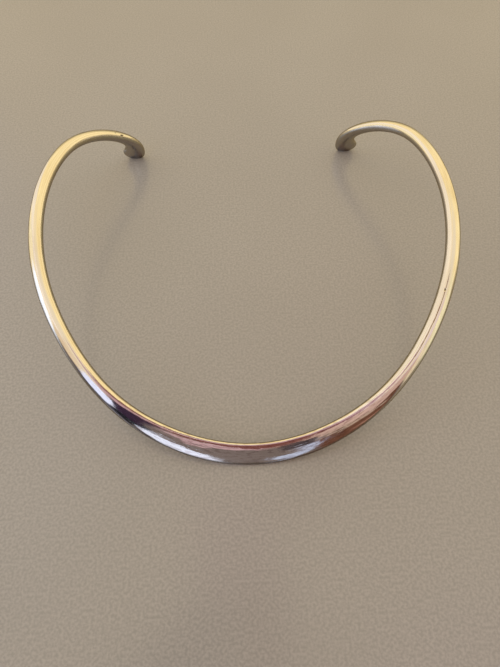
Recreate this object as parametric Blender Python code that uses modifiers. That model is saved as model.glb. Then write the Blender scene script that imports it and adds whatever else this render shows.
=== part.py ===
"""Plain polished silver neck ring, lying on a floor on its front and its two ends.

The ring is one forged bar. In plan it is an open hoop, and it is bent like a sheet
over a former: it climbs from the front to the middle of the two arms, then turns
steeply down to the ends. The broad face of the bar stays in the bent sheet, so it
leans forward at the front, faces up along the arms and faces back at the ends.
+X is to the side, +Y is from the front to the ends, +Z is up from the floor.
"""
import math

import bmesh
import bpy
import numpy as np

# Driving dimensions of the hoop, in metres and radians
RING_WIDTH = 0.1300  # over the outside of the two arms
FRONT_SLOPE = math.radians(36.5)  # lean of the sheet at the front
ARCH_RADIUS = 0.1330  # side view: the long arch from the front over the arms
ARCH_LENGTH = 0.1044  # along the sheet from the front to the tight bend
BEND_RADIUS = 0.0300  # side view: the tight bend down to the ends
END_SLOPE = math.radians(70.5)  # steepness of the ends
EASE_LENGTH = 0.0016  # run over which the arch passes into the tight bend
SLOPE_EASE = math.radians(3.4)  # turn over which the tight bend runs straight

# Driving dimensions of the bar, in metres
FRONT_WIDTH = 0.00612
ARM_WIDTH = 0.00418
END_WIDTH = 0.01035
FRONT_THICKNESS = 0.0024
ARM_THICKNESS = 0.0038
END_THICKNESS = 0.0026
FLAT_DEPTH = 0.00012  # how much is filed off where the front rests

# Share of the bar's thickness above its middle line, and fullness of its section, where
# 2 is an ellipse: the front has a flat face and rounded edges, and the arms are oval
FRONT_CROWN = 0.42
ARM_CROWN = 0.52
FRONT_FULLNESS = 2.8
ARM_FULLNESS = 2.05

# Shares of half the bar's length: where the broad front narrows, and where the end flares
FRONT_TAPER = (0.05, 0.30)
END_FLARE_START = 0.86
END_FLARE_POWER = 2.0
TIP_THINNING = 0.7  # power of the tip's rounding that its thickness follows

# The half hoop laid flat, from the middle of the front to the end: shares of half
# the width between the arms' middle lines, and of the run along the sheet
FLAT_HOOP = (
    (0.00, 0.000),
    (0.346, 0.034),
    (0.68, 0.145),
    (0.925, 0.338),
    (1.00, 0.538),
    (0.95, 0.702),
    (0.815, 0.816),
    (0.67, 0.925),
    (0.71, 1.000),
)

# Fineness of the faceted solid
SIDES = 24
BAR_STEPS = 68
TIP_STEPS = 9
CURVE_SAMPLES = 1600
TIP_CUT = 0.004  # share of the rounded tip's length left to one closing face

CUTTER_SIZE = 0.4
MERGE_DISTANCE = 0.00001

SILVER = (0.90, 0.88, 0.84, 1.0)
SILVER_ROUGHNESS = 0.12


def clear_scene():
    for item in list(bpy.data.objects):
        bpy.data.objects.remove(item, do_unlink=True)


def collection(name):
    group = bpy.data.collections.new(name)
    bpy.context.scene.collection.children.link(group)
    return group


def silver():
    material = bpy.data.materials.new("polished_silver")
    material.use_nodes = True
    shader = material.node_tree.nodes["Principled BSDF"]
    shader.inputs["Base Color"].default_value = SILVER
    shader.inputs["Metallic"].default_value = 1.0
    shader.inputs["Roughness"].default_value = SILVER_ROUGHNESS
    return material


def smooth_step(value, low, high):
    share = np.clip((value - low) / (high - low), 0.0, 1.0)
    return share * share * (3.0 - 2.0 * share)


def spline(knots, values, places):
    """A natural cubic spline through the knots, read at the places."""
    gaps = np.diff(knots)
    rises = np.diff(values) / gaps
    matrix = np.eye(len(knots))
    jumps = np.zeros(len(knots))
    for i in range(1, len(knots) - 1):
        matrix[i, i - 1:i + 2] = gaps[i - 1], 2.0 * (gaps[i - 1] + gaps[i]), gaps[i]
        jumps[i] = 6.0 * (rises[i] - rises[i - 1])
    bends = np.linalg.solve(matrix, jumps)
    cell = np.clip(np.searchsorted(knots, places) - 1, 0, len(gaps) - 1)
    gap = gaps[cell]
    before = places - knots[cell]
    after = knots[cell + 1] - places
    curve = (bends[cell] * after ** 3 + bends[cell + 1] * before ** 3) / (6.0 * gap)
    curve += (values[cell] / gap - bends[cell] * gap / 6.0) * after
    curve += (values[cell + 1] / gap - bends[cell + 1] * gap / 6.0) * before
    return curve


def running_sum(rates, places):
    steps = (rates[1:] + rates[:-1]) / 2.0 * np.diff(places)
    return np.concatenate(([0.0], np.cumsum(steps)))


def bar_section(width, thickness, crown, fullness):
    """Points around the bar: across its broad face, and up from its middle line."""
    angles = np.arange(SIDES) * 2.0 * math.pi / SIDES
    power = 2.0 / fullness
    across = np.sign(np.cos(angles)) * np.abs(np.cos(angles)) ** power * width / 2.0
    share = np.where(np.sin(angles) > 0.0, crown, 1.0 - crown)
    up = np.sign(np.sin(angles)) * np.abs(np.sin(angles)) ** power * thickness * share
    return across, up


def front_height():
    """Height of the middle line at the front, where the leaning bar meets the floor."""
    across, up = bar_section(FRONT_WIDTH, FRONT_THICKNESS, FRONT_CROWN, FRONT_FULLNESS)
    lowest = np.min(up * math.cos(FRONT_SLOPE) - across * math.sin(FRONT_SLOPE))
    return -lowest - FLAT_DEPTH


def side_view():
    """The bent sheet seen from the side: run, place from front to back, height, slope."""
    bend = (FRONT_SLOPE + END_SLOPE) * BEND_RADIUS
    drop = (ARCH_LENGTH * math.sin(FRONT_SLOPE) + BEND_RADIUS) / math.sin(END_SLOPE)
    run = np.linspace(0.0, ARCH_LENGTH + bend + drop, CURVE_SAMPLES)
    tight = 1.0 / (1.0 + np.exp(-(run - ARCH_LENGTH) / EASE_LENGTH))
    curvature = 1.0 / ARCH_RADIUS + (1.0 / BEND_RADIUS - 1.0 / ARCH_RADIUS) * tight
    slope = FRONT_SLOPE - running_sum(curvature, run)
    slope = np.logaddexp(0.0, (slope + END_SLOPE) / SLOPE_EASE) * SLOPE_EASE - END_SLOPE
    back = running_sum(np.cos(slope), run)
    height = front_height() + running_sum(np.sin(slope), run)
    return run, back, height, slope


def run_to_floor(run, height):
    """The run at which the middle line comes down to the floor."""
    top = int(np.argmax(height))
    return np.interp(0.0, -height[top:], run[top:])


def middle_line():
    """The bar's middle line on one side: points, slopes of the sheet, and lengths."""
    run, back, height, slope = side_view()
    half = np.array(FLAT_HOOP)
    other = half[:0:-1] * (-1.0, 1.0)
    whole = np.concatenate((other, half))
    knots = np.linspace(-1.0, 1.0, len(whole))
    places = np.linspace(0.0, 1.0, CURVE_SAMPLES)
    side = spline(knots, whole[:, 0], places) * (RING_WIDTH - ARM_WIDTH) / 2.0
    along = spline(knots, whole[:, 1], places) * run_to_floor(run, height)
    points = np.stack((side, np.interp(along, run, back), np.interp(along, run, height)), axis=1)
    slopes = np.interp(along, run, slope)
    steps = np.linalg.norm(np.diff(points, axis=0), axis=1)
    lengths = np.concatenate(([0.0], np.cumsum(steps)))
    return points, slopes, lengths


def station_lengths(total):
    """Where the bar's sections lie: even along the bar, closer round the tip."""
    tip = END_WIDTH / 2.0
    bar = np.linspace(0.0, total - tip, BAR_STEPS + 1)
    turn = np.linspace(0.0, math.pi / 2.0, TIP_STEPS + 1)[1:]
    left = tip * np.maximum(1.0 - np.sin(turn), TIP_CUT)
    return np.concatenate((bar, total - left))


def bar_sizes(lengths, total):
    """Width, thickness, crown and fullness at each section, with the tip rounded off."""
    share = lengths / total
    front = 1.0 - smooth_step(share, *FRONT_TAPER)
    flare = np.clip((share - END_FLARE_START) / (1.0 - END_FLARE_START), 0.0, 1.0)
    flare = flare ** END_FLARE_POWER
    width = ARM_WIDTH + (FRONT_WIDTH - ARM_WIDTH) * front + (END_WIDTH - ARM_WIDTH) * flare
    thickness = ARM_THICKNESS + (FRONT_THICKNESS - ARM_THICKNESS) * front
    thickness += (END_THICKNESS - ARM_THICKNESS) * flare
    left = np.clip((total - lengths) / (END_WIDTH / 2.0), 0.0, 1.0)
    rounding = np.sqrt(1.0 - (1.0 - left) ** 2)
    crown = ARM_CROWN + (FRONT_CROWN - ARM_CROWN) * front
    fullness = ARM_FULLNESS + (FRONT_FULLNESS - ARM_FULLNESS) * front
    return width * rounding, thickness * rounding ** TIP_THINNING, crown, fullness


def read_along(stations, lengths, values):
    """Rows of values given along the bar, read at the stations."""
    return np.stack([np.interp(stations, lengths, column) for column in values.T], axis=1)


def section_frames():
    """Each section's middle, its way across the broad face and its way up, and its sizes."""
    points, slopes, lengths = middle_line()
    stations = station_lengths(lengths[-1])
    centres = read_along(stations, lengths, points)
    headings = read_along(stations, lengths, np.gradient(points, lengths, axis=0))
    headings[0] = (1.0, 0.0, 0.0)
    headings /= np.linalg.norm(headings, axis=1, keepdims=True)
    leans = np.interp(stations, lengths, slopes)
    ups = np.stack((np.zeros_like(leans), -np.sin(leans), np.cos(leans)), axis=1)
    outs = np.cross(headings, ups)
    outs /= np.linalg.norm(outs, axis=1, keepdims=True)
    ups = np.cross(outs, headings)
    return centres, outs, ups, *bar_sizes(stations, lengths[-1])


def extrude_loop(bm, verts, edges):
    """The loop extruded in place: its new verts, in the old ones' order, and its edges."""
    grown = bmesh.ops.extrude_edge_only(bm, edges=edges)["geom"]
    new = {item for item in grown if isinstance(item, bmesh.types.BMVert)}
    rails = [item for item in grown if isinstance(item, bmesh.types.BMEdge)]
    edges = [edge for edge in rails if new.issuperset(edge.verts)]
    partners = []
    for vert in verts:
        ends = [edge.other_vert(vert) for edge in vert.link_edges]
        partners += [end for end in ends if end in new]
    return partners, edges


def half_ring_mesh():
    """One side of the bar, open at the front, drawn out section by section."""
    bm = bmesh.new()
    verts = bmesh.ops.create_circle(bm, segments=SIDES, radius=FRONT_WIDTH / 2.0)["verts"]
    edges = list(bm.edges)
    for i, (centre, out, up, *sizes) in enumerate(zip(*section_frames())):
        if i:
            verts, edges = extrude_loop(bm, verts, edges)
        for vert, across, rise in zip(verts, *bar_section(*sizes)):
            vert.co = centre + across * out + rise * up
    bmesh.ops.contextual_create(bm, geom=edges)
    bmesh.ops.recalc_face_normals(bm, faces=bm.faces)
    mesh = bpy.data.meshes.new("neck_ring")
    bm.to_mesh(mesh)
    bm.free()
    return mesh


def floor_cutter(group):
    """Everything below the floor, which files the three resting spots flat."""
    bpy.ops.mesh.primitive_cube_add(size=CUTTER_SIZE, location=(0.0, 0.0, -CUTTER_SIZE / 2.0))
    cutter = bpy.context.object
    cutter.name = "below_floor"
    for other in list(cutter.users_collection):
        other.objects.unlink(cutter)
    group.objects.link(cutter)
    cutter.hide_render = True
    cutter.display_type = "WIRE"
    return cutter


def neck_ring(parts, cutters):
    mesh = half_ring_mesh()
    mesh.materials.append(silver())
    ring = bpy.data.objects.new("neck_ring", mesh)
    parts.objects.link(ring)
    places = [vert.co.y for vert in mesh.vertices]
    ring.location.y = -(min(places) + max(places)) / 2.0
    mirror = ring.modifiers.new("other_side", "MIRROR")
    mirror.use_axis = (True, False, False)
    mirror.use_clip = True
    mirror.merge_threshold = MERGE_DISTANCE
    rest = ring.modifiers.new("resting_spots", "BOOLEAN")
    rest.operation = "DIFFERENCE"
    rest.solver = "EXACT"
    rest.object = floor_cutter(cutters)
    mesh.shade_smooth()
    return ring


def main():
    clear_scene()
    parts = collection("silver_neck_ring")
    cutters = collection("cutters")
    neck_ring(parts, cutters)


main()
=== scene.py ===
"""Looks of the plain polished silver neck ring.

The ring's bar is drawn out again with fine steps, so that its polished faces mirror the
studio cleanly. It lies on a plain floor under warm light, among soft cards that only
reflections show: cream ones at the sides and behind, cool window-like ones at the left
and in front, and dark ones low in front and near the lens.
"""
import math

import bmesh
import bpy
import numpy as np
from mathutils import Matrix, Vector


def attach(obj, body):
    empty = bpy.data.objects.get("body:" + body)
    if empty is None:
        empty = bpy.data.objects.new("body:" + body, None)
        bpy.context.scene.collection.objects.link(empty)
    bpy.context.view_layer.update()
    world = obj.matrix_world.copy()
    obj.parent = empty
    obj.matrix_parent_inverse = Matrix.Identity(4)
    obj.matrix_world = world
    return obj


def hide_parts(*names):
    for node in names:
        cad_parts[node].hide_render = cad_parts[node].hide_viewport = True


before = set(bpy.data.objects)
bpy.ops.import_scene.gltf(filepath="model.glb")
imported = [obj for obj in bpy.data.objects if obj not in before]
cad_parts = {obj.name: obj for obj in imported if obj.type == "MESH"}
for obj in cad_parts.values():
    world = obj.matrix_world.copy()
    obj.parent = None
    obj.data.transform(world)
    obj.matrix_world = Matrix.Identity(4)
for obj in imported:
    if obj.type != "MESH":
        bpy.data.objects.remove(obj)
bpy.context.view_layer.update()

# The CAD part's driving dimensions of the hoop, in metres and radians
RING_WIDTH = 0.1300
FRONT_SLOPE = math.radians(36.5)
ARCH_RADIUS = 0.1330
ARCH_LENGTH = 0.1044
BEND_RADIUS = 0.0300
END_SLOPE = math.radians(70.5)
EASE_LENGTH = 0.0016
SLOPE_EASE = math.radians(3.4)

# The CAD part's driving dimensions of the bar, in metres
FRONT_WIDTH = 0.00612
ARM_WIDTH = 0.00418
END_WIDTH = 0.01035
FRONT_THICKNESS = 0.0024
ARM_THICKNESS = 0.0038
END_THICKNESS = 0.0026
FLAT_DEPTH = 0.00012  # how much is filed off where the front rests

# Share of the bar's thickness above its middle line, and fullness of its section, where
# 2 is an ellipse: the front has a flat face and rounded edges, and the arms are oval
FRONT_CROWN = 0.42
ARM_CROWN = 0.52
FRONT_FULLNESS = 2.8
ARM_FULLNESS = 2.05

# Shares of half the bar's length: where the broad front narrows, and where the end flares
FRONT_TAPER = (0.05, 0.30)
END_FLARE_START = 0.86
END_FLARE_POWER = 2.0
TIP_THINNING = 0.7  # power of the tip's rounding that its thickness follows

# The half hoop laid flat, from the middle of the front to the end: shares of half
# the width between the arms' middle lines, and of the run along the sheet
FLAT_HOOP = (
    (0.00, 0.000),
    (0.346, 0.034),
    (0.68, 0.145),
    (0.925, 0.338),
    (1.00, 0.538),
    (0.95, 0.702),
    (0.815, 0.816),
    (0.67, 0.925),
    (0.71, 1.000),
)

# Fineness of the shown bar
SIDES = 96
BAR_STEPS = 250
TIP_STEPS = 30
CURVE_SAMPLES = 4000
TIP_CUT = 0.002  # share of the rounded tip's length left to one closing face
MERGE_DISTANCE = 0.000001
SHARP_EDGE = math.radians(35.0)

# The camera, as the photograph was taken: its place in metres, its turns in degrees, its
# focal length in the photograph's pixels, its sensor in millimetres
CAMERA_PLACE = (-0.00201, -0.10011, 0.13880)
CAMERA_DOWN = 60.49
CAMERA_TURN = -1.70
CAMERA_ROLL = -0.825
PHOTO_HEIGHT = 667
FOCAL_PIXELS = 490
SENSOR_SIZE = 36.0
NEAREST_SEEN = 0.005

FLOOR_RADIUS = 1.4
FLOOR_SIDES = 128
CARD_DISTANCE = 1.5

# Colours of the silver and the floor
CLEAN_SILVER = (0.955, 0.940, 0.915, 1.0)
FILMED_SILVER = (0.90, 0.855, 0.79, 1.0)
SCUFFED_SILVER = (0.58, 0.50, 0.48, 1.0)
DARK_PIT = (0.22, 0.18, 0.15, 1.0)
FLOOR_SPECK = (0.465, 0.446, 0.408, 1.0)
FLOOR_PALE = (0.585, 0.560, 0.515, 1.0)
FLOOR_CLOUD = (0.42, 0.40, 0.36, 1.0)
# Painted shade: the floor's darker colour, which only rays from the silver see
FLOOR_PAINTED_SHADE_IN_REFLECTIONS = (0.170, 0.152, 0.132, 1.0)

# Colours of the light round the studio
DIM_ROOM = (0.17, 0.135, 0.12, 1.0)
DARKER_GOLD = (0.90, 0.67, 0.31, 1.0)
LIGHTER_GOLD = (1.10, 0.88, 0.47, 1.0)
CREAM_TOP = (0.84, 0.70, 0.50, 1.0)
FLOOR_LIGHT = (0.60, 0.575, 0.54, 1.0)
BACKDROP = (0.42, 0.40, 0.37, 1.0)


def smooth_step(value, low, high):
    share = np.clip((value - low) / (high - low), 0.0, 1.0)
    return share * share * (3.0 - 2.0 * share)


def spline(knots, values, places):
    """A natural cubic spline through the values at the knots, read at the places."""
    gaps = np.diff(knots)
    rises = np.diff(values) / gaps
    matrix = np.eye(len(knots))
    jumps = np.zeros(len(knots))
    for i in range(1, len(knots) - 1):
        matrix[i, i - 1:i + 2] = gaps[i - 1], 2.0 * (gaps[i - 1] + gaps[i]), gaps[i]
        jumps[i] = 6.0 * (rises[i] - rises[i - 1])
    bends = np.linalg.solve(matrix, jumps)
    cell = np.clip(np.searchsorted(knots, places) - 1, 0, len(gaps) - 1)
    gap = gaps[cell]
    before = places - knots[cell]
    after = knots[cell + 1] - places
    curve = (bends[cell] * after ** 3 + bends[cell + 1] * before ** 3) / (6.0 * gap)
    curve += (values[cell] / gap - bends[cell] * gap / 6.0) * after
    curve += (values[cell + 1] / gap - bends[cell + 1] * gap / 6.0) * before
    return curve


def running_sum(rates, places):
    steps = (rates[1:] + rates[:-1]) / 2.0 * np.diff(places)
    return np.concatenate(([0.0], np.cumsum(steps)))


def bar_section(width, thickness, crown, fullness):
    """Points around the bar: across its broad face, and up from its middle line."""
    angles = np.arange(SIDES) * 2.0 * math.pi / SIDES
    power = 2.0 / fullness
    across = np.sign(np.cos(angles)) * np.abs(np.cos(angles)) ** power * width / 2.0
    share = np.where(np.sin(angles) > 0.0, crown, 1.0 - crown)
    up = np.sign(np.sin(angles)) * np.abs(np.sin(angles)) ** power * thickness * share
    return across, up


def front_height():
    """Height of the middle line at the front, where the leaning bar meets the floor."""
    across, up = bar_section(FRONT_WIDTH, FRONT_THICKNESS, FRONT_CROWN, FRONT_FULLNESS)
    lowest = np.min(up * math.cos(FRONT_SLOPE) - across * math.sin(FRONT_SLOPE))
    return -lowest - FLAT_DEPTH


def side_view():
    """The bent sheet seen from the side: run, place from front to back, height, slope."""
    bend = (FRONT_SLOPE + END_SLOPE) * BEND_RADIUS
    drop = (ARCH_LENGTH * math.sin(FRONT_SLOPE) + BEND_RADIUS) / math.sin(END_SLOPE)
    run = np.linspace(0.0, ARCH_LENGTH + bend + drop, CURVE_SAMPLES)
    tight = 1.0 / (1.0 + np.exp(-(run - ARCH_LENGTH) / EASE_LENGTH))
    curvature = 1.0 / ARCH_RADIUS + (1.0 / BEND_RADIUS - 1.0 / ARCH_RADIUS) * tight
    slope = FRONT_SLOPE - running_sum(curvature, run)
    slope = np.logaddexp(0.0, (slope + END_SLOPE) / SLOPE_EASE) * SLOPE_EASE - END_SLOPE
    back = running_sum(np.cos(slope), run)
    height = front_height() + running_sum(np.sin(slope), run)
    return run, back, height, slope


def run_to_floor(run, height):
    """The run at which the middle line comes down to the floor."""
    top = int(np.argmax(height))
    return np.interp(0.0, -height[top:], run[top:])


def middle_line():
    """The bar's middle line on one side: points, slopes of the sheet, and lengths."""
    run, back, height, slope = side_view()
    half = np.array(FLAT_HOOP)
    other = half[:0:-1] * (-1.0, 1.0)
    whole = np.concatenate((other, half))
    knots = np.linspace(-1.0, 1.0, len(whole))
    places = np.linspace(0.0, 1.0, CURVE_SAMPLES)
    side = spline(knots, whole[:, 0], places) * (RING_WIDTH - ARM_WIDTH) / 2.0
    along = spline(knots, whole[:, 1], places) * run_to_floor(run, height)
    points = np.stack((side, np.interp(along, run, back), np.interp(along, run, height)), axis=1)
    slopes = np.interp(along, run, slope)
    steps = np.linalg.norm(np.diff(points, axis=0), axis=1)
    lengths = np.concatenate(([0.0], np.cumsum(steps)))
    return points, slopes, lengths


def station_lengths(total):
    """Where the bar's sections lie: even along the bar, closer round the tip."""
    tip = END_WIDTH / 2.0
    bar = np.linspace(0.0, total - tip, BAR_STEPS + 1)
    turn = np.linspace(0.0, math.pi / 2.0, TIP_STEPS + 1)[1:]
    left = tip * np.maximum(1.0 - np.sin(turn), TIP_CUT)
    return np.concatenate((bar, total - left))


def bar_sizes(lengths, total):
    """Width, thickness, crown and fullness at each section, with the tip rounded off."""
    share = lengths / total
    front = 1.0 - smooth_step(share, *FRONT_TAPER)
    flare = np.clip((share - END_FLARE_START) / (1.0 - END_FLARE_START), 0.0, 1.0)
    flare = flare ** END_FLARE_POWER
    width = ARM_WIDTH + (FRONT_WIDTH - ARM_WIDTH) * front + (END_WIDTH - ARM_WIDTH) * flare
    thickness = ARM_THICKNESS + (FRONT_THICKNESS - ARM_THICKNESS) * front
    thickness += (END_THICKNESS - ARM_THICKNESS) * flare
    left = np.clip((total - lengths) / (END_WIDTH / 2.0), 0.0, 1.0)
    rounding = np.sqrt(1.0 - (1.0 - left) ** 2)
    crown = ARM_CROWN + (FRONT_CROWN - ARM_CROWN) * front
    fullness = ARM_FULLNESS + (FRONT_FULLNESS - ARM_FULLNESS) * front
    return width * rounding, thickness * rounding ** TIP_THINNING, crown, fullness


def read_along(stations, lengths, values):
    """Rows of values given along the bar, read at the stations."""
    return np.stack([np.interp(stations, lengths, column) for column in values.T], axis=1)


def section_frames():
    """Each section's place along the bar, middle, way across, way up and sizes.

    The bar crosses the middle of the front squarely, so that the two halves meet there.
    """
    points, slopes, lengths = middle_line()
    stations = station_lengths(lengths[-1])
    centres = read_along(stations, lengths, points)
    headings = read_along(stations, lengths, np.gradient(points, lengths, axis=0))
    headings[0] = (1.0, 0.0, 0.0)
    headings /= np.linalg.norm(headings, axis=1, keepdims=True)
    leans = np.interp(stations, lengths, slopes)
    ups = np.stack((np.zeros_like(leans), -np.sin(leans), np.cos(leans)), axis=1)
    outs = np.cross(headings, ups)
    outs /= np.linalg.norm(outs, axis=1, keepdims=True)
    ups = np.cross(outs, headings)
    return stations, centres, outs, ups, *bar_sizes(stations, lengths[-1])


def extrude_loop(bm, verts, edges):
    """The loop extruded in place: its new verts, in the old ones' order, and its edges."""
    grown = bmesh.ops.extrude_edge_only(bm, edges=edges)["geom"]
    new = {item for item in grown if isinstance(item, bmesh.types.BMVert)}
    rails = [item for item in grown if isinstance(item, bmesh.types.BMEdge)]
    edges = [edge for edge in rails if new.issuperset(edge.verts)]
    partners = []
    for vert in verts:
        ends = [edge.other_vert(vert) for edge in vert.link_edges]
        partners += [end for end in ends if end in new]
    return partners, edges


def draw_out_half(bm, bar_place):
    """One side of the bar, section by section, with each vert's place in the straight bar."""
    verts = bmesh.ops.create_circle(bm, segments=SIDES, radius=FRONT_WIDTH / 2.0)["verts"]
    edges = list(bm.edges)
    for i, (length, centre, out, up, *sizes) in enumerate(zip(*section_frames())):
        if i:
            verts, edges = extrude_loop(bm, verts, edges)
        for vert, across, rise in zip(verts, *bar_section(*sizes)):
            vert.co = centre + across * out + rise * up
            vert[bar_place] = (length, across, rise)
    bmesh.ops.contextual_create(bm, geom=edges)


def mirror_half(bm, bar_place):
    """The other side, joined to the first at the middle of the front."""
    everything = bm.verts[:] + bm.edges[:] + bm.faces[:]
    bmesh.ops.mirror(bm, geom=everything, matrix=Matrix(), merge_dist=MERGE_DISTANCE, axis="X")
    for vert in bm.verts:
        if vert.co.x < 0.0:
            length, across, rise = vert[bar_place]
            vert[bar_place] = (-length, across, rise)


def file_resting_spots(bm):
    """The three spots that touch the floor, cut flat and closed."""
    everything = bm.verts[:] + bm.edges[:] + bm.faces[:]
    bmesh.ops.bisect_plane(bm, geom=everything, plane_no=(0.0, 0.0, 1.0), clear_inner=True)
    rims = [edge for edge in bm.edges if edge.is_boundary]
    bmesh.ops.edgenet_fill(bm, edges=rims)


def new_piece(name, bm, material):
    """An object made of the bmesh, which is used up."""
    mesh = bpy.data.meshes.new(name)
    bm.to_mesh(mesh)
    bm.free()
    mesh.materials.append(material)
    piece = bpy.data.objects.new(name, mesh)
    bpy.context.scene.collection.objects.link(piece)
    return piece


def neck_ring():
    """The whole bar, shown in place of the CAD part's solid."""
    bm = bmesh.new()
    bar_place = bm.verts.layers.float_vector.new("bar_place")
    draw_out_half(bm, bar_place)
    mirror_half(bm, bar_place)
    file_resting_spots(bm)
    bmesh.ops.recalc_face_normals(bm, faces=bm.faces)
    places = [vert.co.y for vert in bm.verts]
    centre = Vector((0.0, (min(places) + max(places)) / 2.0, 0.0))
    bmesh.ops.translate(bm, verts=bm.verts, vec=-centre)
    ring = new_piece("polished_neck_ring", bm, polished_silver())
    ring.data.shade_smooth()
    ring.data.set_sharp_from_angle(angle=SHARP_EDGE)
    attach(ring, "root")
    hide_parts("neck_ring")


class Tree:
    """A node tree, with a short call for each kind of node or effect used here."""

    def __init__(self, tree):
        self.nodes = tree.nodes
        self.links = tree.links

    def add(self, kind, inputs=None, **settings):
        node = self.nodes.new(kind)
        for name, value in settings.items():
            setattr(node, name, value)
        for name, value in (inputs or {}).items():
            if isinstance(value, bpy.types.NodeSocket):
                self.links.new(value, node.inputs[name])
            else:
                node.inputs[name].default_value = value
        return node

    def math(self, operation, first, second=0.0):
        return self.add("ShaderNodeMath", {0: first, 1: second}, operation=operation).outputs[0]

    def spread(self, value, low, high, to_low=0.0, to_high=1.0):
        """The value's range from low to high, spread smoothly over the new range.

        Where high is below low, the new range runs the other way.
        """
        inputs = {"Value": value, "From Min": low, "From Max": high, "To Min": to_low,
                  "To Max": to_high}
        node = self.add("ShaderNodeMapRange", inputs, interpolation_type="SMOOTHSTEP")
        return node.outputs["Result"]

    def noise(self, place, size, detail=2.0, turn=(0.0, 0.0, 0.0)):
        """Noise whose lumps measure about size, in metres, along each way of the place."""
        scale = [1.0 / length for length in size]
        mapped = self.add("ShaderNodeMapping", {"Vector": place, "Rotation": turn, "Scale": scale})
        inputs = {"Vector": mapped.outputs["Vector"], "Scale": 1.0, "Detail": detail}
        return self.add("ShaderNodeTexNoise", inputs).outputs["Fac"]

    def mix(self, factor, first, second):
        """Two colours mixed. The node's colour sockets are inputs 6 and 7 and output 2."""
        node = self.add("ShaderNodeMix", {"Factor": factor}, data_type="RGBA")
        for socket, value in ((node.inputs[6], first), (node.inputs[7], second)):
            if isinstance(value, bpy.types.NodeSocket):
                self.links.new(value, socket)
            else:
                socket.default_value = value
        return node.outputs[2]

    def mark(self, place, middle, size):
        """One small spot: 1 in its middle, fading to 0 at its edge, size metres away."""
        away = self.add("ShaderNodeVectorMath", {0: place, 1: middle}, operation="SUBTRACT")
        scaled = self.add("ShaderNodeVectorMath", {0: away.outputs[0], 1: size},
                          operation="DIVIDE")
        length = self.add("ShaderNodeVectorMath", {0: scaled.outputs[0]}, operation="LENGTH")
        return self.spread(length.outputs["Value"], 1.0, 0.4)

    def bump(self, height, depth, normal=None):
        """A bump whose height from 0 to 1 stands depth metres proud."""
        inputs = {"Height": height, "Strength": 1.0, "Distance": depth}
        if normal:
            inputs["Normal"] = normal
        return self.add("ShaderNodeBump", inputs).outputs["Normal"]


def new_material(name):
    material = bpy.data.materials.new(name)
    material.use_nodes = True
    tree = Tree(material.node_tree)
    return material, tree, material.node_tree.nodes["Principled BSDF"]


def pits_and_nicks(tree, bar, place):
    """1 in a few tiny pits and in one nick on each arm, and 0 elsewhere."""
    cells = tree.add("ShaderNodeTexVoronoi", {"Vector": place, "Scale": 210.0})
    rare = tree.math("GREATER_THAN", tree.noise(place, (0.02, 0.02, 0.02)), 0.6)
    pits = tree.math("MULTIPLY", tree.spread(cells.outputs["Distance"], 0.05, 0.02), rare)
    right_nick = tree.mark(bar, (0.0756, -0.0006, 0.0019), (0.0006, 0.00032, 0.0006))
    left_nick = tree.mark(bar, (-0.1633, -0.0022, 0.0002), (0.0009, 0.0007, 0.00035))
    return tree.math("MAXIMUM", pits, tree.math("MAXIMUM", right_nick, left_nick))


def silver_colour(tree, bar, place, pits):
    """Clean silver with a thin warm film in places, a scuffed front and darker pits."""
    tarnish = tree.noise(place, (0.030, 0.030, 0.030), detail=5.0)
    film = tree.spread(tarnish, 0.45, 0.75)
    colour = tree.mix(film, CLEAN_SILVER, FILMED_SILVER)
    along = tree.add("ShaderNodeSeparateXYZ", {"Vector": bar}).outputs["X"]
    front = tree.spread(tree.math("ABSOLUTE", along), 0.058, 0.030)
    scuffs = tree.noise(bar, (0.0024, 0.00055, 0.00055), detail=3.0)
    worn = tree.math("MULTIPLY", tree.spread(scuffs, 0.50, 0.62), front)
    colour = tree.mix(tree.math("MULTIPLY", worn, 0.5), colour, SCUFFED_SILVER)
    return tree.mix(pits, colour, DARK_PIT)


def silver_roughness(tree, bar, place, wiping):
    """A high polish that smudges, wiping lines and slanting scratches take down a little."""
    smudges = tree.noise(place, (0.013, 0.013, 0.013), detail=4.0)
    crossing = tree.noise(bar, (0.005, 0.00010, 0.00010), detail=2.0, turn=(0.0, 0.5, 0.35))
    from_middle = tree.math("ABSOLUTE", tree.math("SUBTRACT", crossing, 0.5))
    scratch = tree.spread(from_middle, 0.02, 0.0)
    roughness = tree.spread(smudges, 0.35, 0.70, 0.045, 0.10)
    roughness = tree.math("ADD", roughness, tree.math("MULTIPLY", wiping, 0.03))
    return tree.math("ADD", roughness, tree.math("MULTIPLY", scratch, 0.05))


def silver_relief(tree, bar, wiping, pits):
    """Shallow waves, streaks and mottling along the bar, wiping lines and sunken pits."""
    waves = tree.noise(bar, (0.011, 0.006, 0.006), detail=1.0)
    streaks = tree.noise(bar, (0.016, 0.0009, 0.0009), detail=2.0)
    mottling = tree.noise(bar, (0.0026, 0.0010, 0.0010), detail=2.0)
    normal = tree.bump(waves, 0.000070)
    normal = tree.bump(streaks, 0.000040, normal)
    normal = tree.bump(mottling, 0.000018, normal)
    normal = tree.bump(wiping, 0.0000006, normal)
    return tree.bump(pits, -0.00015, normal)


def polished_silver():
    """Silver polished along the bar, with its marks placed in the straight bar's metres."""
    material, tree, shader = new_material("polished_silver")
    bar = tree.add("ShaderNodeAttribute", attribute_name="bar_place").outputs["Vector"]
    place = tree.add("ShaderNodeTexCoord").outputs["Object"]
    wiping = tree.noise(bar, (0.009, 0.00009, 0.00009), detail=3.0)
    pits = pits_and_nicks(tree, bar, place)
    tree.links.new(silver_colour(tree, bar, place, pits), shader.inputs["Base Color"])
    tree.links.new(silver_roughness(tree, bar, place, wiping), shader.inputs["Roughness"])
    tree.links.new(silver_relief(tree, bar, wiping, pits), shader.inputs["Normal"])
    shader.inputs["Metallic"].default_value = 1.0
    return material


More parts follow.
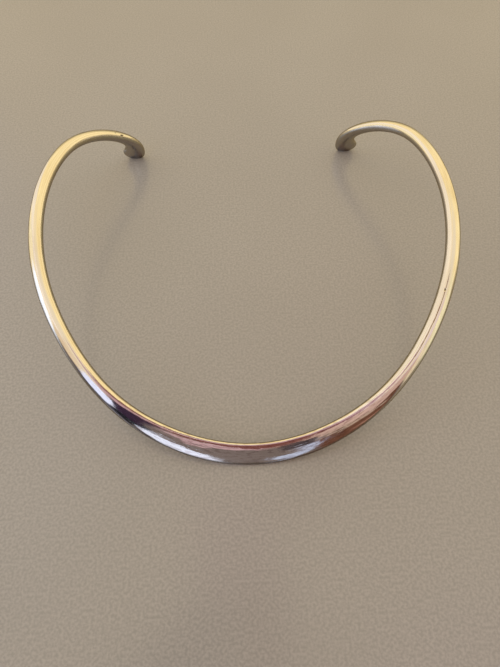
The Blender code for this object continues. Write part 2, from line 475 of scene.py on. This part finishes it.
def pale_satin():
    """A pale floor with a faint speckle and a satin sheen.

    The silver sees it in painted shade, darker and more like a blurred mirror than the eye does.
    """
    material, tree, shader = new_material("pale_floor")
    place = tree.add("ShaderNodeTexCoord").outputs["Object"]
    grain = tree.noise(place, (0.0007, 0.0007, 0.0007), detail=2.0)
    clouds = tree.noise(place, (0.06, 0.06, 0.06), detail=2.0)
    pale = tree.mix(tree.spread(grain, 0.30, 0.70), FLOOR_SPECK, FLOOR_PALE)
    pale = tree.mix(tree.spread(clouds, 0.3, 0.7, 0.0, 0.16), pale, FLOOR_CLOUD)
    # Painted shade and reflection: rays other than the camera's see a dark, half-metallic floor
    seen = tree.add("ShaderNodeLightPath").outputs["Is Camera Ray"]
    colour = tree.mix(seen, FLOOR_PAINTED_SHADE_IN_REFLECTIONS, pale)
    tree.links.new(colour, shader.inputs["Base Color"])
    tree.links.new(tree.spread(seen, 0.0, 1.0, 0.6, 0.0), shader.inputs["Metallic"])
    tree.links.new(tree.spread(grain, 0.3, 0.7, 0.19, 0.26), shader.inputs["Roughness"])
    shader.inputs["Specular IOR Level"].default_value = 0.8
    return material


def pale_floor():
    """A round floor that reaches about as far as the far cards."""
    bm = bmesh.new()
    bmesh.ops.create_circle(bm, cap_ends=True, segments=FLOOR_SIDES, radius=FLOOR_RADIUS)
    floor = new_piece("floor", bm, pale_satin())


def direction(azimuth, elevation):
    """Azimuth 0 is behind the ring, 90 on its right and 180 in front."""
    turn = math.radians(azimuth)
    rise = math.radians(elevation)
    level = math.cos(rise)
    return Vector((math.sin(turn) * level, math.cos(turn) * level, math.sin(rise)))


def soft_sheet_group():
    """Streaks and soft edges over a sheet's own UV map, built once for every card."""
    name = "soft sheet"
    group = bpy.data.node_groups.get(name)
    if group:
        return group
    group = bpy.data.node_groups.new(name, "ShaderNodeTree")
    softness = group.interface.new_socket("Softness", in_out="INPUT", socket_type="NodeSocketFloat")
    softness.default_value = 0.3
    for output in ("Streaks", "Solid"):
        group.interface.new_socket(output, in_out="OUTPUT", socket_type="NodeSocketFloat")
    tree = Tree(group)
    place = tree.add("ShaderNodeUVMap").outputs["UV"]
    streaks = tree.spread(tree.noise(place, (0.05, 0.6, 1.0)), 0.3, 0.7, 0.82, 1.12)
    edge = tree.math("MULTIPLY", tree.add("NodeGroupInput").outputs["Softness"], 0.5)
    parts = tree.add("ShaderNodeSeparateXYZ", {"Vector": place})
    fades = []
    for part in (parts.outputs["X"], parts.outputs["Y"]):
        inward = tree.math("MINIMUM", part, tree.math("SUBTRACT", 1.0, part))
        fades.append(tree.spread(inward, 0.0, edge))
    solid = tree.math("MULTIPLY", *fades)
    tree.add("NodeGroupOutput", {"Streaks": streaks, "Solid": solid})
    return group


def soft_glow(name, colour, softness):
    """A glow with faint streaks that fades away over a share of the sheet at its edges."""
    material = bpy.data.materials.new(name)
    material.use_nodes = True
    material.node_tree.nodes.clear()
    tree = Tree(material.node_tree)
    soft = tree.add("ShaderNodeGroup", node_tree=soft_sheet_group())
    soft.inputs["Softness"].default_value = softness
    inputs = {"Color": (*colour, 1.0), "Strength": soft.outputs["Streaks"]}
    glow = tree.add("ShaderNodeEmission", inputs)
    clear = tree.add("ShaderNodeBsdfTransparent")
    inputs = {0: soft.outputs["Solid"], 1: clear.outputs[0], 2: glow.outputs[0]}
    mixed = tree.add("ShaderNodeMixShader", inputs)
    tree.add("ShaderNodeOutputMaterial", {"Surface": mixed.outputs[0]})
    return material


def sheet(name, placed, colour, softness):
    """A plain glowing or dark sheet, 2 by 2 before it is placed, that only reflections see."""
    bm = bmesh.new()
    bm.loops.layers.uv.new("UVMap")
    bmesh.ops.create_grid(bm, x_segments=1, y_segments=1, size=1.0, calc_uvs=True)
    bmesh.ops.transform(bm, verts=bm.verts, matrix=placed)
    piece = new_piece(name, bm, soft_glow(name, colour, softness))
    piece.visible_camera = False


def card(name, azimuth, elevation, width, height, colour, lean=0.0, softness=0.3, nearer=0.0):
    """A far card round the ring. Its middle, size and lean are in degrees.

    The lean is to the right, as the ring sees the card. A card that stands nearer, in
    metres, covers the ones behind it.
    """
    towards = direction(azimuth, elevation)
    distance = CARD_DISTANCE - nearer
    half_width = distance * math.tan(math.radians(width / 2.0))
    half_height = distance * math.tan(math.radians(height / 2.0))
    facing = (-towards).to_track_quat("Z", "Y").to_matrix().to_4x4()
    turn = Matrix.Rotation(math.radians(-lean), 4, "Z")
    size = Matrix.Diagonal((half_width, half_height, 1.0, 1.0))
    placed = Matrix.Translation(towards * distance) @ facing @ turn @ size
    sheet(name, placed, colour, softness)


def lens_card(name, middle, size, colour, lean=0.0, depth=0.0, softness=0.12):
    """A near card in the plane of the lens, placed from the lens in metres.

    The lean is to the right, as seen from behind the lens. A card with more depth stands
    further behind the lens, so the others cover it.
    """
    place = Matrix.Translation((*middle, depth))
    turn = Matrix.Rotation(math.radians(-lean), 4, "Z")
    scale = Matrix.Diagonal((size[0] / 2.0, size[1] / 2.0, 1.0, 1.0))
    sheet(name, camera_placing() @ place @ turn @ scale, colour, softness)


def studio_cards():
    """What the silver mirrors: far cards all round the ring, and near ones at the lens."""
    card("left_window", -91, 16, 36, 84, (1.10, 1.14, 1.24), softness=0.6)
    card("cream_left_card", -66, 28, 22, 66, (0.98, 0.82, 0.52), softness=0.6)
    card("cream_back_card", -45, 26, 28, 70, (0.97, 0.82, 0.62), softness=0.5, nearer=0.01)
    card("pale_left_card", -84, 64, 60, 24, (0.98, 0.83, 0.68), softness=0.7, nearer=0.02)
    card("beige_left_card", -120, 46, 22, 60, (0.78, 0.60, 0.40), lean=-20.0, softness=0.5)
    card("front_left_window", -142, 38, 19, 66, (0.86, 0.90, 1.14), lean=-26.0, nearer=0.05)
    card("low_left_window", -163, 18, 23, 46, (0.86, 0.89, 1.06), nearer=0.10)
    card("dark_left_flag", -147, 16, 12, 92, (0.010, 0.010, 0.014), lean=-27.0, nearer=0.20)
    card("low_dark_flag", -129, 4, 32, 22, (0.070, 0.066, 0.090), softness=0.4, nearer=0.22)
    card("front_right_window", 172.5, 15, 9, 50, (0.52, 0.56, 0.72), softness=0.5)
    card("pink_cream_card", 146, 66, 44, 22, (0.80, 0.62, 0.58))
    card("beige_front_card", 164, 53, 38, 32, (0.58, 0.38, 0.31), nearer=0.02)
    card("yellow_beige_card", 128, 30, 24, 60, (0.78, 0.63, 0.42), lean=10.0, softness=0.5)
    card("brown_right_card", 153, 16, 29, 56, (0.14, 0.058, 0.034), lean=15.0, softness=0.2,
         nearer=0.05)
    card("tan_right_strip", 150, 9, 7, 34, (0.34, 0.17, 0.115), lean=42.0, softness=0.5,
         nearer=0.10)
    card("beige_right_strip", 158, 34, 4, 40, (0.46, 0.32, 0.24), lean=45.0, softness=0.5,
         nearer=0.10)
    card("cream_card", 106, 26, 34, 72, (0.92, 0.80, 0.50), softness=0.5)
    card("olive_back_card", 0, 2, 96, 50, (0.40, 0.31, 0.16), softness=0.8)
    card("dim_front", 180, 12, 20, 62, (0.18, 0.14, 0.125))

    lens_card("brown_strip", (0.040, 0.089), (0.025, 0.102), (0.22, 0.080, 0.065), lean=36.0)
    lens_card("brown_board", (0.0065, -0.025), (0.022, 0.082), (0.19, 0.065, 0.055), lean=-7.0)
    lens_card("purple_board", (-0.0455, -0.038), (0.032, 0.110), (0.040, 0.020, 0.042), lean=37.0,
              depth=0.001)
    lens_card("dark_notch", (0.0275, -0.080), (0.018, 0.042), (0.065, 0.048, 0.052), lean=-7.0,
              depth=0.001)
    lens_card("pink_board", (-0.006, -0.058), (0.036, 0.050), (0.56, 0.36, 0.37), depth=0.002)
    lens_card("pale_pink_board", (-0.010, 0.034), (0.050, 0.100), (0.52, 0.32, 0.34), lean=-8.0,
              depth=0.003)
    lens_card("lens_board", (-0.0085, -0.0855), (0.061, 0.124), (0.19, 0.145, 0.13), lean=-25.5,
              depth=0.004)


def world_light():
    """Warm light from overhead and behind, a dim room low in front, a grey backdrop.

    Matt surfaces, such as the floor's, get one even light, so that it stays neutral.
    """
    world = bpy.data.worlds.new("studio")
    bpy.context.scene.world = world
    world.use_nodes = True
    world.node_tree.nodes.clear()
    tree = Tree(world.node_tree)
    way = tree.add("ShaderNodeTexCoord").outputs["Generated"]
    parts = tree.add("ShaderNodeSeparateXYZ", {"Vector": way})
    lift = tree.math("ADD", parts.outputs["Y"], tree.math("MULTIPLY", parts.outputs["Z"], 1.4))
    warmth = tree.spread(lift, -0.1, 0.6)
    folds = tree.noise(way, (0.10, 0.10, 0.8))
    gold = tree.mix(tree.spread(folds, 0.3, 0.7), DARKER_GOLD, LIGHTER_GOLD)
    colour = tree.mix(warmth, DIM_ROOM, gold)
    top = tree.spread(parts.outputs["Z"], 0.75, 0.98)
    colour = tree.mix(top, colour, CREAM_TOP)
    rays = tree.add("ShaderNodeLightPath").outputs
    colour = tree.mix(rays["Is Diffuse Ray"], colour, FLOOR_LIGHT)
    colour = tree.mix(rays["Is Camera Ray"], colour, BACKDROP)
    background = tree.add("ShaderNodeBackground", {"Color": colour, "Strength": 1.0})
    tree.add("ShaderNodeOutputWorld", {"Surface": background.outputs["Background"]})


def camera_placing():
    turn = Matrix.Rotation(math.radians(CAMERA_TURN), 4, "Z")
    tilt = Matrix.Rotation(math.radians(90.0 - CAMERA_DOWN), 4, "X")
    roll = Matrix.Rotation(math.radians(CAMERA_ROLL), 4, "Z")
    return Matrix.Translation(CAMERA_PLACE) @ turn @ tilt @ roll


def camera():
    """A camera at the photograph's own angle, with plain display of colours."""
    data = bpy.data.cameras.new("camera")
    data.sensor_width = SENSOR_SIZE
    data.lens = SENSOR_SIZE * FOCAL_PIXELS / PHOTO_HEIGHT
    data.clip_start = NEAREST_SEEN
    viewer = bpy.data.objects.new("camera", data)
    bpy.context.scene.collection.objects.link(viewer)
    viewer.matrix_world = camera_placing()
    bpy.context.scene.camera = viewer
    bpy.context.scene.view_settings.view_transform = "Standard"


neck_ring()
pale_floor()
studio_cards()
world_light()
camera()
